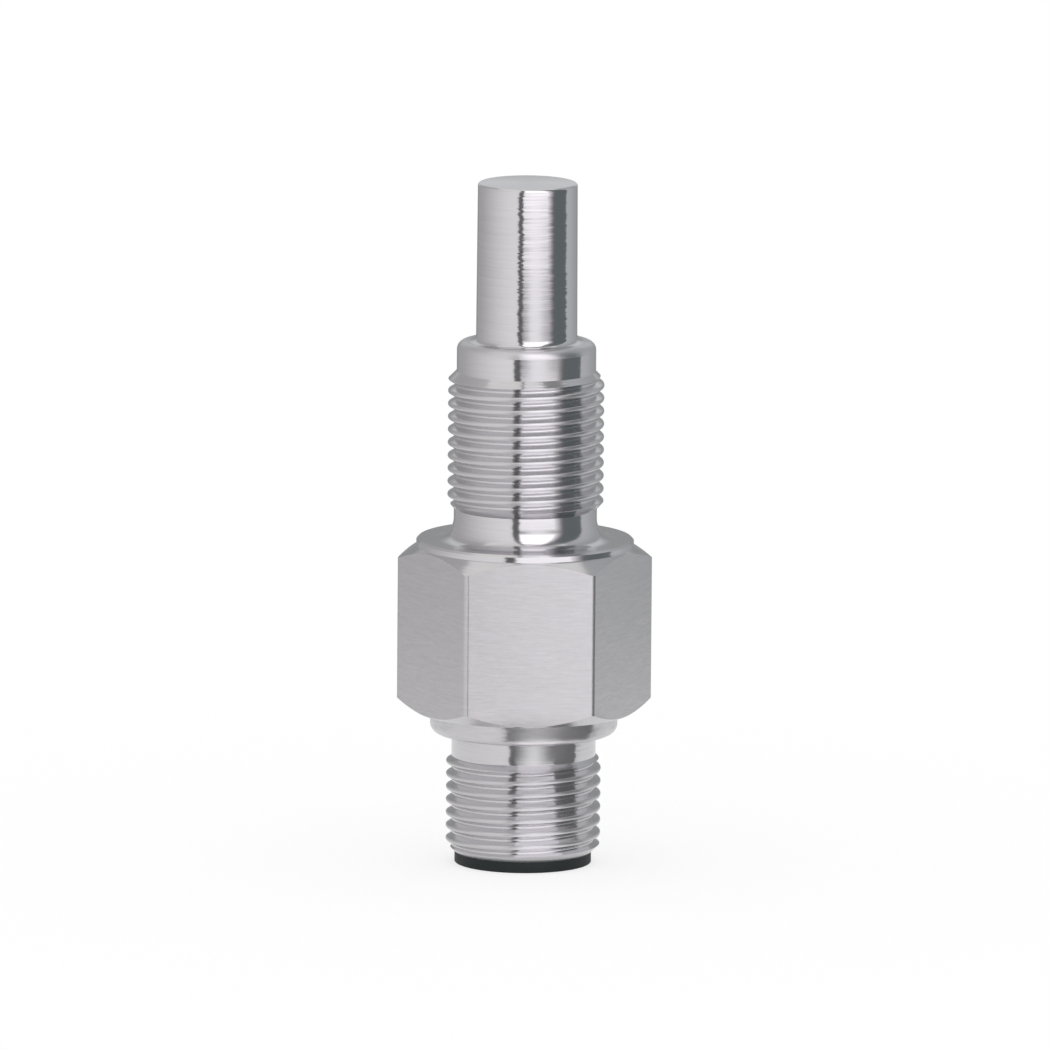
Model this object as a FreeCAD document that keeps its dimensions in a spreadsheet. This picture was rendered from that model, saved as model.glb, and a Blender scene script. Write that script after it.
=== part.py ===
import FreeCAD, Part
import math
import os

import Sketcher

# Thermal flow sensor that screws into a pipe fitting, standing on its plug end.
# Its steel body is one turned piece: plug thread, collar, hexagon, sealing flange, process thread,
# pilot and a closed probe, with a stepped bore that holds the socket insert, the boards and the
# sensing strip. Millimetres, +Z up to the probe tip, origin in the middle of the plug's rim.

SIZES = {
    # Steel body, lengths from the plug end up
    "rim_height": 0.85,
    "plug_thread_length": 7.55,
    "plug_neck_length": 1.7,
    "collar_height": 1.74,
    "hex_height": 12.75,
    "flange_height": 0.56,
    "relief_length": 2.33,
    "process_thread_length": 10.62,
    "pilot_length": 2.3,
    "probe_length": 12.24,
    # Steel body, widths
    "plug_thread_diameter": 11.85,
    "plug_neck_diameter": 11.05,
    "hex_across_flats": 17.0,
    "collar_step": 1.325,
    "flange_step": 0.175,
    "hex_land_step": 0.1,
    "relief_diameter": 10.95,
    "process_thread_diameter": 11.95,
    "pilot_diameter": 10.65,
    "probe_diameter": 7.74,
    "probe_tip_diameter": 7.62,
    # Steel body, edges
    "plug_chamfer": 0.68,
    "plug_runout": 0.45,
    "collar_edge_radius": 0.7,
    "hex_corner_radius": 0.5,
    "hex_chamfer_angle": 34.7,
    "flange_edge": 0.15,
    "relief_radius": 1.5,
    "process_runout": 0.58,
    "pilot_edge_radius": 0.65,
    "probe_base_radius": 0.57,
    "tip_edge_radius": 0.25,
    # Steel body, stepped bore
    "insert_bore_diameter": 9.7,
    "insert_bore_depth": 11.6,
    "insert_shoulder": 0.55,
    "chamber_diameter": "=insert_bore_diameter - 2 * insert_shoulder",
    "chamber_end_wall": 2.4,
    "drill_half_angle": 59.0,
    "probe_bore_diameter": 6.1,
    "tip_wall": 0.8,
    # Socket insert
    "rim_diameter": 10.48,
    "rim_edge_radius": 0.08,
    "insert_clearance": 0.05,
    "insert_lead_in": 0.3,
    "socket_wall": 0.55,
    "socket_diameter": "=insert_bore_diameter - 2 * (insert_clearance + socket_wall)",
    "socket_depth": 8.2,
    "socket_mouth": 0.25,
    "key_width": 1.5,
    "key_height": 0.7,
    "key_setback": 0.8,
    "seal_section": 0.7,
    "seal_groove_width": 1.0,
    # Contact pins
    "pin_circle_diameter": 5.0,
    "pin_diameter": 1.0,
    "pin_tip_radius": 0.35,
    "pin_setback": 1.2,
    "pin_collar_diameter": 1.5,
    "pin_collar_length": 1.7,
    "pin_tail_diameter": 0.7,
    "pin_tail_length": 1.4,
    # Contact board and main board
    "contact_board_thickness": 0.8,
    "contact_board_clearance": 0.1,
    "solder_gap": 0.1,
    "board_thickness": 0.8,
    "board_side_gap": 0.13,
    "foot_height": 1.0,
    "foot_width": 1.1,
    "foot_inset": 0.3,
    "sleeve_wall": 0.3,
    "sleeve_clearance": 0.05,
    "sleeve_end_gap": 0.4,
    # Sensing strip, couplers and leads
    "strip_width": 3.4,
    "strip_thickness": 0.5,
    "heater_thickness": 0.4,
    "thermistor_thickness": 0.5,
    "coupler_clearance": 0.05,
    "coupler_slot_play": 0.1,
    "tip_coupler_length": 3.2,
    "tip_coupler_web": 0.8,
    "reference_coupler_length": 2.6,
    "reference_coupler_rise": 0.9,
    "lead_diameter": 0.25,
    "lead_pitch": 0.6,
    "lead_gap": 2.6,
    "lead_arch": 0.5,
    "lead_joint": 1.2,
}

LEVELS = {
    "steel_end": "Size.rim_height",
    "plug_thread_top": "Level.steel_end + Size.plug_thread_length",
    "collar_bottom": "Level.plug_thread_top + Size.plug_neck_length",
    "hex_bottom": "Level.collar_bottom + Size.collar_height",
    "hex_top": "Level.hex_bottom + Size.hex_height",
    "flange_top": "Level.hex_top + Size.flange_height",
    "process_thread_bottom": "Level.flange_top + Size.relief_length",
    "process_thread_top": "Level.process_thread_bottom + Size.process_thread_length",
    "probe_base": "Level.process_thread_top + Size.pilot_length",
    "tip": "Level.probe_base + Size.probe_length",
    "insert_bore_top": "Level.steel_end + Size.insert_bore_depth",
    "chamber_top": "Level.probe_base - Size.chamber_end_wall",
    "probe_bore_top": "Level.tip - Size.tip_wall",
    "socket_floor": "Size.socket_depth",
    "insert_top": "Level.insert_bore_top - Size.contact_board_thickness",
    "seal_middle": "(Level.socket_floor + Level.insert_top) / 2",
    "board_bottom": "Level.insert_bore_top + Size.foot_height",
    "board_top": "Level.chamber_top - Size.lead_gap",
    "tip_coupler_bottom": "Level.probe_bore_top - Size.tip_coupler_length",
    "strip_top": "Level.probe_bore_top - Size.tip_coupler_web",
    "reference_coupler_bottom": "Level.probe_base + Size.reference_coupler_rise",
}

# Chips on the main board: size in X, Y and Z, side (1 for +Y, -1 for -Y), and the place of the
# lower middle, across and up from the board's lower edge
CHIPS = {
    "measuring_chip": ((4.0, 1.4, 5.0), 1, (0, 2.0)),
    "heater_driver": ((3.0, 1.0, 3.0), 1, (0, 9.5)),
    "input_capacitor": ((3.2, 1.6, 1.6), -1, (0, 1.0)),
    "protection_diode": ((2.6, 1.1, 1.6), -1, (0, 4.5)),
    "memory_chip": ((3.0, 1.1, 2.0), -1, (0, 8.0)),
    "resistor_1": ((1.6, 0.5, 0.8), -1, (-1.2, 12.0)),
    "resistor_2": ((1.6, 0.5, 0.8), -1, (1.2, 12.0)),
    "resistor_3": ((1.6, 0.5, 0.8), -1, (-1.2, 13.6)),
    "resistor_4": ((1.6, 0.5, 0.8), -1, (1.2, 13.6)),
}

PIN_ANGLES = (-45, -135, 135, 45)
LEAD_COUNT = 5
NEAR = 1e-4


def half(size):
    """Expression for half of a named size."""
    return f"Size.{size} / 2"


def fill_sheet(doc, name, cells):
    """Spreadsheet with one named cell a row."""
    sheet = doc.addObject("Spreadsheet::Sheet", name)
    for row, (alias, value) in enumerate(cells.items(), 1):
        sheet.set(f"A{row}", alias)
        sheet.set(f"B{row}", str(value))
        sheet.setAlias(f"B{row}", alias)
    return sheet


def bind(thing, **expressions):
    """Bind properties of a feature to expressions; a double underscore stands for a dot."""
    for name, expression in expressions.items():
        thing.setExpression(name.replace("__", "."), expression)


def new_body(doc, name):
    body = doc.addObject("PartDesign::Body", name)
    body.Label = name
    return body


def new_sketch(body, role, name, level=None):
    """Sketch on one of the body's origin planes, raised to a level where one is given."""
    sketch = body.newObject("Sketcher::SketchObject", name)
    planes = [plane for plane in body.Origin.OriginFeatures if plane.Role == role]
    sketch.AttachmentSupport = [(planes[0], "")]
    sketch.MapMode = "FlatFace"
    if level:
        bind(sketch, AttachmentOffset__Base__z=level)
    return sketch


def hold_point(sketch, element, end, place):
    """Hold a sketch point at a pair of expressions, measured from the origin."""
    for axis, expression in zip(("DistanceX", "DistanceY"), place):
        value = sketch.evalExpression(expression)
        index = sketch.addConstraint(Sketcher.Constraint(axis, -1, 1, element, end, value))
        sketch.setExpression(f"Constraints[{index}]", expression)


def spot(sketch, place):
    """Vector at a pair of expressions."""
    across, up = (sketch.evalExpression(expression) for expression in place)
    return FreeCAD.Vector(across, up, 0)


def draw_outline(sketch, corners):
    """Closed outline of straight lines through corners, each a pair of expressions."""
    spots = [spot(sketch, corner) for corner in corners]
    first = sketch.GeometryCount
    count = len(corners)
    for index, start in enumerate(spots):
        sketch.addGeometry(Part.LineSegment(start, spots[(index + 1) % count]), False)
    for index in range(count):
        following = first + (index + 1) % count
        sketch.addConstraint(Sketcher.Constraint("Coincident", first + index, 2, following, 1))
    for index, corner in enumerate(corners):
        hold_point(sketch, first + index, 1, corner)


def draw_box(sketch, low, high):
    """Rectangle between two opposite corners."""
    draw_outline(sketch, [low, (high[0], low[1]), high, (low[0], high[1])])


def draw_circle(sketch, radius, centre=("0", "0")):
    """Circle of a radius about a centre, all given as expressions."""
    upright = FreeCAD.Vector(0, 0, 1)
    size = sketch.evalExpression(radius)
    element = sketch.addGeometry(Part.Circle(spot(sketch, centre), upright, size), False)
    hold_point(sketch, element, 3, centre)
    index = sketch.addConstraint(Sketcher.Constraint("Radius", element, size))
    sketch.setExpression(f"Constraints[{index}]", radius)


def revolve(body, name, corners):
    """Solid of revolution about the Z axis from an outline of (radius, level) corners."""
    sketch = new_sketch(body, "XZ_Plane", f"{name}_profile")
    draw_outline(sketch, corners)
    feature = body.newObject("PartDesign::Revolution", name)
    feature.Profile = sketch
    feature.ReferenceAxis = (sketch, ["V_Axis"])
    body.Document.recompute()
    return feature


def turn_away(body, name, corners):
    """Groove about the Z axis from an outline of (radius, level) corners."""
    before = body.Shape.Volume
    sketch = new_sketch(body, "XZ_Plane", f"{name}_profile")
    draw_outline(sketch, corners)
    feature = body.newObject("PartDesign::Groove", name)
    feature.Profile = sketch
    feature.ReferenceAxis = (sketch, ["V_Axis"])
    body.Document.recompute()
    require_cut(body, name, before)
    return feature


def pad(body, name, sketch, length, down=False):
    """Pad of a sketch by a length, upwards unless down is set."""
    feature = body.newObject("PartDesign::Pad", name)
    feature.Profile = sketch
    feature.Reversed = down
    bind(feature, Length=length)
    body.Document.recompute()
    return feature


def pocket(body, name, sketch, depth, up=False):
    """Pocket of a sketch to a depth, downwards unless up is set."""
    before = body.Shape.Volume
    feature = body.newObject("PartDesign::Pocket", name)
    feature.Profile = sketch
    feature.Reversed = up
    bind(feature, Length=depth)
    body.Document.recompute()
    require_cut(body, name, before)
    return feature


def require_cut(body, name, before):
    if body.Shape.Volume > before - NEAR:
        raise RuntimeError(f"{body.Label}: {name} cut nothing")


def edge_names(shape, wanted):
    return [f"Edge{index}" for index, edge in enumerate(shape.Edges, 1) if wanted(edge)]


def ring_test(body, radius, level):
    """Test for the round edge about the Z axis with this radius at this level."""
    size = body.evalExpression(radius)
    height = body.evalExpression(level)

    def wanted(edge):
        curve = edge.Curve
        if not isinstance(curve, Part.Circle):
            return False
        return abs(curve.Radius - size) < NEAR and abs(curve.Center.z - height) < NEAR

    return wanted


def dress(body, kind, name, wanted, **size):
    """Fillet or chamfer of the edges of the body's present tip that pass a test."""
    base = body.Tip
    names = edge_names(base.Shape, wanted)
    if not names:
        raise RuntimeError(f"{body.Label}: no edge for {name}")
    feature = body.newObject(f"PartDesign::{kind}", name)
    feature.Base = (base, names)
    bind(feature, **size)
    body.Document.recompute()
    return feature


def round_edge(body, name, radius, ring, level):
    dress(body, "Fillet", name, ring_test(body, ring, level), Radius=radius)


def add_hexagon(body):
    """Hexagon with rounded corners, its front flat square to -Y, and turned end chamfers."""
    sketch = new_sketch(body, "XY_Plane", "hexagon_profile", "Level.hex_bottom")
    corner = "Size.hex_across_flats / sqrt(3)"
    angles = range(0, 360, 60)
    draw_outline(sketch, [(f"{corner} * cos({a} deg)", f"{corner} * sin({a} deg)") for a in angles])
    pad(body, "hexagon", sketch, "Size.hex_height")

    def upright(edge):
        return abs(edge.Vertexes[0].Z - edge.Vertexes[-1].Z) > NEAR

    dress(body, "Fillet", "hexagon_corners", upright, Radius="Size.hex_corner_radius")
    beyond = "Size.hex_across_flats"
    for end, land, sign in (("top", "Size.flange_step", "-"), ("bottom", "Size.hex_land_step", "+")):
        inner = f"Size.hex_across_flats / 2 - {land}"
        fall = f"({beyond} - ({inner})) * tan(Size.hex_chamfer_angle * 1 deg)"
        face = f"Level.hex_{end}"
        turn_away(body, f"hexagon_{end}_chamfer", [
            (inner, face),
            (beyond, face),
            (beyond, f"{face} {sign} {fall}"),
        ])


def add_shank(body):
    """Turned outline from the plug end through the hexagon to the probe tip."""
    plug = half("plug_thread_diameter")
    neck = half("plug_neck_diameter")
    collar = "Size.hex_across_flats / 2 - Size.collar_step"
    flange = "Size.hex_across_flats / 2 - Size.flange_step"
    relief = half("relief_diameter")
    process = half("process_thread_diameter")
    pilot = half("pilot_diameter")
    probe = half("probe_diameter")
    probe_tip = half("probe_tip_diameter")
    middle = "(Level.hex_bottom + Level.hex_top) / 2"
    revolve(body, "shank", [
        ("0", "Level.steel_end"),
        (f"{plug} - Size.plug_chamfer", "Level.steel_end"),
        (plug, "Level.steel_end + Size.plug_chamfer"),
        (plug, "Level.plug_thread_top - Size.plug_runout"),
        (neck, "Level.plug_thread_top"),
        (neck, "Level.collar_bottom"),
        (collar, "Level.collar_bottom"),
        (collar, middle),
        (flange, middle),
        (flange, "Level.flange_top - Size.flange_edge"),
        (f"{flange} - Size.flange_edge", "Level.flange_top"),
        (relief, "Level.flange_top"),
        (relief, "Level.process_thread_bottom"),
        (process, "Level.process_thread_bottom + Size.process_runout"),
        (process, f"Level.process_thread_top - ({process} - {pilot})"),
        (pilot, "Level.process_thread_top"),
        (pilot, "Level.probe_base"),
        (probe, "Level.probe_base"),
        (probe_tip, "Level.tip"),
        ("0", "Level.tip"),
    ])
    round_edge(body, "collar_edge", "Size.collar_edge_radius", collar, "Level.collar_bottom")
    round_edge(body, "relief_foot", "Size.relief_radius", relief, "Level.flange_top")
    round_edge(body, "pilot_edge", "Size.pilot_edge_radius", pilot, "Level.probe_base")
    round_edge(body, "probe_foot", "Size.probe_base_radius", probe, "Level.probe_base")
    round_edge(body, "tip_edge", "Size.tip_edge_radius", probe_tip, "Level.tip")


def make_sensor_body(doc):
    """Steel body: hexagon bar turned to its outline, then bored from the plug end."""
    body = new_body(doc, "sensor_body")
    add_hexagon(body)
    add_shank(body)
    chamber = half("chamber_diameter")
    probe_bore = half("probe_bore_diameter")
    cone_rise = f"({chamber} - {probe_bore}) / tan(Size.drill_half_angle * 1 deg)"
    turn_away(body, "stepped_bore", [
        ("0", "Level.steel_end"),
        (half("insert_bore_diameter"), "Level.steel_end"),
        (half("insert_bore_diameter"), "Level.insert_bore_top"),
        (chamber, "Level.insert_bore_top"),
        (chamber, "Level.chamber_top"),
        (probe_bore, f"Level.chamber_top + {cone_rise}"),
        (probe_bore, "Level.probe_bore_top"),
        ("0", "Level.probe_bore_top"),
    ])
    return body


def pin_places():
    """Centres of the four outer contacts and the middle one, as expression pairs."""
    reach = half("pin_circle_diameter")
    outer = [(f"{reach} * cos({a} deg)", f"{reach} * sin({a} deg)") for a in PIN_ANGLES]
    return outer + [("0", "0")]


def draw_pin_circles(sketch, radius):
    for place in pin_places():
        draw_circle(sketch, radius, place)


def make_contact_carrier(doc):
    """Moulded insert: rim, socket with coding key, stepped contact holes and seal groove."""
    body = new_body(doc, "contact_carrier")
    rim = half("rim_diameter")
    outer = "Size.insert_bore_diameter / 2 - Size.insert_clearance"
    groove_floor = "Size.insert_bore_diameter / 2 - Size.seal_section"
    groove_low = "Level.seal_middle - Size.seal_groove_width / 2"
    groove_high = "Level.seal_middle + Size.seal_groove_width / 2"
    socket = half("socket_diameter")
    revolve(body, "insert", [
        (f"{socket} + Size.socket_mouth", "0"),
        (rim, "0"),
        (rim, "Level.steel_end"),
        (outer, "Level.steel_end"),
        (outer, groove_low),
        (groove_floor, groove_low),
        (groove_floor, groove_high),
        (outer, groove_high),
        (outer, "Level.insert_top - Size.insert_lead_in"),
        (f"{outer} - Size.insert_lead_in", "Level.insert_top"),
        ("0", "Level.insert_top"),
        ("0", "Level.socket_floor"),
        (socket, "Level.socket_floor"),
        (socket, "Size.socket_mouth"),
    ])
    round_edge(body, "rim_edge", "Size.rim_edge_radius", rim, "0")
    key = new_sketch(body, "XY_Plane", "key_profile", "Level.socket_floor")
    root = f"-({socket} + {outer}) / 2"
    draw_box(key, ("-Size.key_width / 2", root), (half("key_width"), f"-({socket} - Size.key_height)"))
    pad(body, "coding_key", key, "Level.socket_floor - Size.key_setback", down=True)
    holes = new_sketch(body, "XY_Plane", "contact_hole_profile", "Level.insert_top")
    draw_pin_circles(holes, half("pin_diameter"))
    pocket(body, "contact_holes", holes, "Level.insert_top - Level.socket_floor")
    seats = new_sketch(body, "XY_Plane", "collar_seat_profile", "Level.insert_top")
    draw_pin_circles(seats, half("pin_collar_diameter"))
    pocket(body, "collar_seats", seats, "Size.pin_collar_length")
    return body


def make_contact_pin(doc, number, place):
    """Turned contact: rounded free end, collar in the insert and solder tail."""
    body = new_body(doc, f"contact_pin_{number}")
    shaft = half("pin_diameter")
    collar = half("pin_collar_diameter")
    tail = half("pin_tail_diameter")
    collar_low = "Level.insert_top - Size.pin_collar_length"
    revolve(body, "contact", [
        ("0", "Size.pin_setback"),
        (shaft, "Size.pin_setback"),
        (shaft, collar_low),
        (collar, collar_low),
        (collar, "Level.insert_top"),
        (tail, "Level.insert_top"),
        (tail, "Level.insert_top + Size.pin_tail_length"),
        ("0", "Level.insert_top + Size.pin_tail_length"),
    ])
    round_edge(body, "free_end", "Size.pin_tip_radius", shaft, "Size.pin_setback")
    bind(body, Placement__Base__x=place[0], Placement__Base__y=place[1])
    return body


def make_carrier_seal(doc):
    """Sealing ring squeezed between the insert's groove and the bore."""
    ring = doc.addObject("Part::Torus", "carrier_seal")
    ring.Label = "carrier_seal"
    bind(
        ring,
        Radius1="Size.insert_bore_diameter / 2 - Size.seal_section / 2",
        Radius2=half("seal_section"),
        Placement__Base__z="Level.seal_middle",
    )
    return ring


def sleeve_bore():
    """Expression for the inner radius of the insulating sleeve."""
    return "Size.chamber_diameter / 2 - Size.sleeve_clearance - Size.sleeve_wall"


def board_edge():
    """Expression for half the width of the main board, which just fits the sleeve."""
    bore = f"({sleeve_bore()} - Size.board_side_gap)"
    return f"sqrt(pow({bore}; 2) - pow(Size.board_thickness / 2; 2))"


def foot_sides():
    """Inner and outer side of a main board foot, as expressions."""
    outer = f"{board_edge()} - Size.foot_inset"
    return f"{outer} - Size.foot_width", outer


def make_contact_board(doc):
    """Round board behind the insert, with holes for the contacts and slots for the feet."""
    body = new_body(doc, "contact_board")
    disc = new_sketch(body, "XY_Plane", "disc_profile", "Level.insert_top")
    draw_circle(disc, "Size.insert_bore_diameter / 2 - Size.contact_board_clearance")
    draw_pin_circles(disc, "Size.pin_tail_diameter / 2 + Size.solder_gap")
    inner, outer = foot_sides()
    depth = "Size.board_thickness / 2 + Size.solder_gap"
    for side in ("", "-"):
        near = f"{side}({inner} - Size.solder_gap)"
        far = f"{side}({outer} + Size.solder_gap)"
        draw_box(disc, (near, f"-({depth})"), (far, depth))
    pad(body, "disc", disc, "Size.contact_board_thickness")
    return body


def make_main_board(doc):
    """Upright board, whose two feet stand in the slots of the contact board."""
    body = new_body(doc, "main_board")
    sketch = new_sketch(body, "XZ_Plane", "board_profile", "-Size.board_thickness / 2")
    inner, outer = foot_sides()
    right = [
        (inner, "Level.board_bottom"),
        (inner, "Level.insert_top"),
        (outer, "Level.insert_top"),
        (outer, "Level.board_bottom"),
        (board_edge(), "Level.board_bottom"),
        (board_edge(), "Level.board_top"),
    ]
    left = [(f"-({across})", up) for across, up in reversed(right)]
    draw_outline(sketch, right + left)
    pad(body, "board", sketch, "Size.board_thickness")
    return body


def make_board_sleeve(doc):
    """Insulating sleeve between the board and the steel, standing on the contact board."""
    body = new_body(doc, "board_sleeve")
    outer = "Size.chamber_diameter / 2 - Size.sleeve_clearance"
    top = "Level.chamber_top - Size.sleeve_end_gap"
    revolve(body, "sleeve", [
        (sleeve_bore(), "Level.insert_bore_top"),
        (outer, "Level.insert_bore_top"),
        (outer, top),
        (sleeve_bore(), top),
    ])
    return body


def make_chip(doc, name, size, side, place):
    """Block on a face of the main board, as the table of chips gives it."""
    width, depth, height = size
    across, up = place
    chip = doc.addObject("Part::Box", name)
    chip.Label = name
    chip.Length = width
    chip.Width = depth
    chip.Height = height
    face = "Size.board_thickness / 2"
    bind(
        chip,
        Placement__Base__x=f"{across} - {width} / 2",
        Placement__Base__y=face if side > 0 else f"-{face} - {depth}",
        Placement__Base__z=f"Level.board_bottom + {up}",
    )
    return chip


def strip_face():
    """Expression for the strip's +Y face, flush with that of the main board."""
    return half("board_thickness")


def make_sensing_strip(doc):
    """Ceramic strip that carries the heater and both temperature sensors."""
    strip = doc.addObject("Part::Box", "sensing_strip")
    strip.Label = "sensing_strip"
    bind(
        strip,
        Length="Size.strip_width",
        Width="Size.strip_thickness",
        Height="Level.strip_top - Level.chamber_top",
        Placement__Base__x="-Size.strip_width / 2",
        Placement__Base__y=f"{strip_face()} - Size.strip_thickness",
        Placement__Base__z="Level.chamber_top",
    )
    return strip


def make_strip_chip(doc, name, size, thickness, side, middle):
    """Chip of a width and height on one face of the strip, centred at a level."""
    width, height = size
    chip = doc.addObject("Part::Box", name)
    chip.Label = name
    chip.Length = width
    chip.Height = height
    back = f"{strip_face()} - Size.strip_thickness - {thickness}"
    bind(
        chip,
        Width=thickness,
        Placement__Base__x=f"-{width} / 2",
        Placement__Base__y=strip_face() if side > 0 else back,
        Placement__Base__z=f"{middle} - {height} / 2",
    )
    return chip


def make_coupler(doc, name, bottom, length, slot_length, slot_back):
    """Copper block that joins the strip to the probe wall, slotted from below."""
    body = new_body(doc, name)
    disc = new_sketch(body, "XY_Plane", "block_profile", bottom)
    draw_circle(disc, "Size.probe_bore_diameter / 2 - Size.coupler_clearance")
    pad(body, "block", disc, length)
    slot = new_sketch(body, "XY_Plane", "slot_profile", bottom)
    reach = "Size.strip_width / 2 + Size.coupler_slot_play"
    slot_front = f"{strip_face()} + Size.thermistor_thickness"
    draw_box(slot, (f"-({reach})", slot_back), (reach, slot_front))
    pocket(body, "slot", slot, slot_length, up=True)
    return body


def make_lead_wire(doc, number):
    """Bare lead from the board to the strip, arched over the gap between them."""
    body = new_body(doc, f"lead_wire_{number}")
    rest = "Size.board_thickness / 2 + Size.lead_diameter / 2"
    turn = "2 * atan(2 * Size.lead_arch / Size.lead_gap)"
    bend = f"Size.lead_gap / (4 * sin({turn}))"
    arch_mid = f"{rest} + Size.lead_arch / 2"
    start = "Level.board_top - Size.lead_joint"
    stations = [
        (rest, start),
        (rest, "Level.board_top"),
        (arch_mid, "Level.board_top + Size.lead_gap / 4"),
        (arch_mid, "Level.board_top + 3 * Size.lead_gap / 4"),
        (rest, "Level.board_top + Size.lead_gap"),
        (rest, "Level.chamber_top + Size.lead_joint"),
    ]
    path = new_sketch(body, "YZ_Plane", "lead_path")
    draw_lead_path(path, stations, bend)
    section = new_sketch(body, "XY_Plane", "lead_section", start)
    draw_circle(section, half("lead_diameter"), ("0", rest))
    pipe = body.newObject("PartDesign::AdditivePipe", "lead")
    pipe.Profile = section
    pipe.Spine = path
    shift = number - (LEAD_COUNT + 1) / 2
    bind(body, Placement__Base__x=f"{shift} * Size.lead_pitch")
    return body


def draw_lead_path(sketch, stations, bend):
    """Straight joint, three tangent arcs of one radius and a straight joint, end to end."""
    spots = [spot(sketch, station) for station in stations]
    radius = sketch.evalExpression(bend)
    turns = (0, -1, 1, -1, 0)
    ends = []
    for element, turn in enumerate(turns):
        start, end = spots[element], spots[element + 1]
        if turn:
            chord = end - start
            sagitta = radius - math.sqrt(radius**2 - (chord.Length / 2) ** 2)
            aside = FreeCAD.Vector(chord.y, -chord.x, 0).normalize() * (turn * sagitta)
            sketch.addGeometry(Part.Arc(start, (start + end) * 0.5 + aside, end), False)
            index = sketch.addConstraint(Sketcher.Constraint("Radius", element, radius))
            sketch.setExpression(f"Constraints[{index}]", bend)
        else:
            sketch.addGeometry(Part.LineSegment(start, end), False)
        ends.append((2, 1) if turn < 0 else (1, 2))
    for element in range(len(turns) - 1):
        joint = (element, ends[element][1], element + 1, ends[element + 1][0])
        sketch.addConstraint(Sketcher.Constraint("Coincident", *joint))
    for element, station in enumerate(stations[:-1]):
        hold_point(sketch, element, ends[element][0], station)
    hold_point(sketch, len(turns) - 1, ends[-1][1], stations[-1])


def make_electronics(doc):
    """Boards, their chips and the insulating sleeve round them."""
    parts = [make_contact_board(doc), make_main_board(doc), make_board_sleeve(doc)]
    for name, (size, side, place) in CHIPS.items():
        parts.append(make_chip(doc, name, size, side, place))
    return parts


def make_sensing_parts(doc):
    """Sensing strip with its heater and sensors, their couplers and the leads."""
    strip_back = f"{strip_face()} - Size.strip_thickness"
    tip_middle = "(Level.tip_coupler_bottom + Level.strip_top) / 2"
    reference_middle = "Level.reference_coupler_bottom + Size.reference_coupler_length / 2"
    thermistor = "Size.thermistor_thickness"
    parts = [
        make_sensing_strip(doc),
        make_strip_chip(doc, "heater", (2.4, 1.6), "Size.heater_thickness", -1, tip_middle),
        make_strip_chip(doc, "heated_sensor", (1.6, 1.0), thermistor, 1, tip_middle),
        make_strip_chip(doc, "reference_sensor", (1.6, 1.0), thermistor, 1, reference_middle),
        make_coupler(
            doc,
            "tip_coupler",
            "Level.tip_coupler_bottom",
            "Size.tip_coupler_length",
            "Level.strip_top - Level.tip_coupler_bottom",
            f"{strip_back} - Size.heater_thickness",
        ),
        make_coupler(
            doc,
            "reference_coupler",
            "Level.reference_coupler_bottom",
            "Size.reference_coupler_length",
            "Size.reference_coupler_length",
            strip_back,
        ),
    ]
    parts += [make_lead_wire(doc, number) for number in range(1, LEAD_COUNT + 1)]
    return parts


def require_sound(doc, parts):
    """Stop where an object has failed or a part has no valid solid."""
    for item in doc.Objects:
        if "Invalid" in item.State or "Error" in item.State:
            raise RuntimeError(f"{item.Label} failed: {item.State}")
    for part in parts:
        if part.Shape.isNull() or not part.Shape.isValid() or not part.Shape.Solids:
            raise RuntimeError(f"{part.Label} has no valid solid")


def main():
    doc = FreeCAD.newDocument("ThermalFlowSensor")
    fill_sheet(doc, "Size", SIZES)
    fill_sheet(doc, "Level", {name: f"={formula}" for name, formula in LEVELS.items()})
    doc.recompute()
    parts = [make_sensor_body(doc), make_contact_carrier(doc), make_carrier_seal(doc)]
    for number, place in enumerate(pin_places(), 1):
        parts.append(make_contact_pin(doc, number, place))
    parts += make_electronics(doc)
    parts += make_sensing_parts(doc)
    doc.recompute()
    require_sound(doc, parts)
    os.makedirs("parts", exist_ok=True)
    for part in parts:
        part.Shape.exportStep(f"parts/{part.Label}.step")


if __name__ == "__main__":
    main()
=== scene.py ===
import math

import bmesh
import bpy
from mathutils import Matrix, Vector


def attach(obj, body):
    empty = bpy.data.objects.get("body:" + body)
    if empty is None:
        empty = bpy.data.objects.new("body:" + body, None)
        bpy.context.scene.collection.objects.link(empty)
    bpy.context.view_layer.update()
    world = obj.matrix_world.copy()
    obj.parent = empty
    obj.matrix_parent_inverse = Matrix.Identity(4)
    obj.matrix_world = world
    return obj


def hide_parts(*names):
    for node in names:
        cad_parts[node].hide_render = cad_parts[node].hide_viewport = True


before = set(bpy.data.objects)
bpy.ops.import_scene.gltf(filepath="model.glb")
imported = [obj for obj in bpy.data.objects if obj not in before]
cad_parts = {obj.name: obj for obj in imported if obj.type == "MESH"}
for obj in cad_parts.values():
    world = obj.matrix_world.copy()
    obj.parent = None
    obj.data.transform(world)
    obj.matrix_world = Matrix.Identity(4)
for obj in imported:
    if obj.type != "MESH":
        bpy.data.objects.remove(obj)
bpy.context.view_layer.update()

bl_info = {
    "name": "Thermal Flow Sensor",
    "version": (1, 0, 0),
    "blender": (4, 5, 0),
    "location": "3D View > Sidebar > Flow Sensor",
    "description": "Screw-in flow sensor with a steel body, a plug end and a studio stage",
    "category": "Add Mesh",
}

MM = 0.001
TURNED, BRUSHED, CREST, GROUND, COLLAR = range(5)

# Steps of the turned shapes. They differ, so that no edges coincide when the shapes are combined
CORE_STEPS = 192
HEXAGON_STEPS = 193
THREAD_END_STEPS = 187
BORE_STEPS = 96

# Sizes that no panel changes
PLUG_CHAMFER = 0.68 * MM
PLUG_RUN_OUT = 0.45 / 0.4  # length over depth
PROCESS_RUN_OUT = 0.58 / 0.5
DRILL_POINT = math.radians(59)  # half of the drill's point angle
THREAD_SINK = 0.07 * MM  # how far a threaded rod reaches into the core
TINY = 1e-7

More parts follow.
